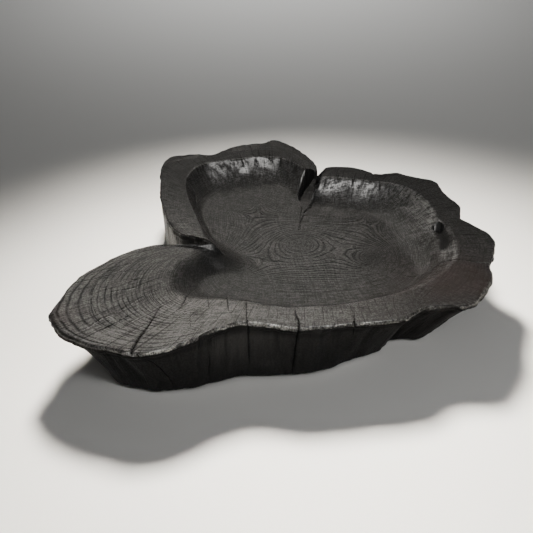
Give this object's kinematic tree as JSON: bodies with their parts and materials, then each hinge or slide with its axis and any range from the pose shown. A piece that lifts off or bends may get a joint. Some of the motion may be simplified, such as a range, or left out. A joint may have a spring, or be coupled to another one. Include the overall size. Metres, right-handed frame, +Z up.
{
  "type": "carved wooden bowl",
  "caption": "Low, wide free-form bowl carved from one slice of a lobed tree trunk, charred black, with a shallow hollow, a leaf-shaped lobe and felt pads under its base.",
  "frame": {"origin": "on the table top, under the middle of the box around the bowl's outline", "axes": "+Z up; +X along the bowl's length, from the tip of the leaf-shaped lobe towards the broad lobe with the knot hole; +Y towards the two back lobes"},
  "size_m": [0.602, 0.546, 0.088],
  "materials": {
    "charred_wood": "charred black and waxed, satin",
    "felt": "pressed wool felt, matte"
  },
  "bodies": {
    "root": {"bowl": "charred_wood", "felt_pad_leaf": "felt", "felt_pad_back_left": "felt", "felt_pad_back_right": "felt", "felt_pad_right": "felt", "felt_pad_front": "felt"}
  },
  "joints": []
}
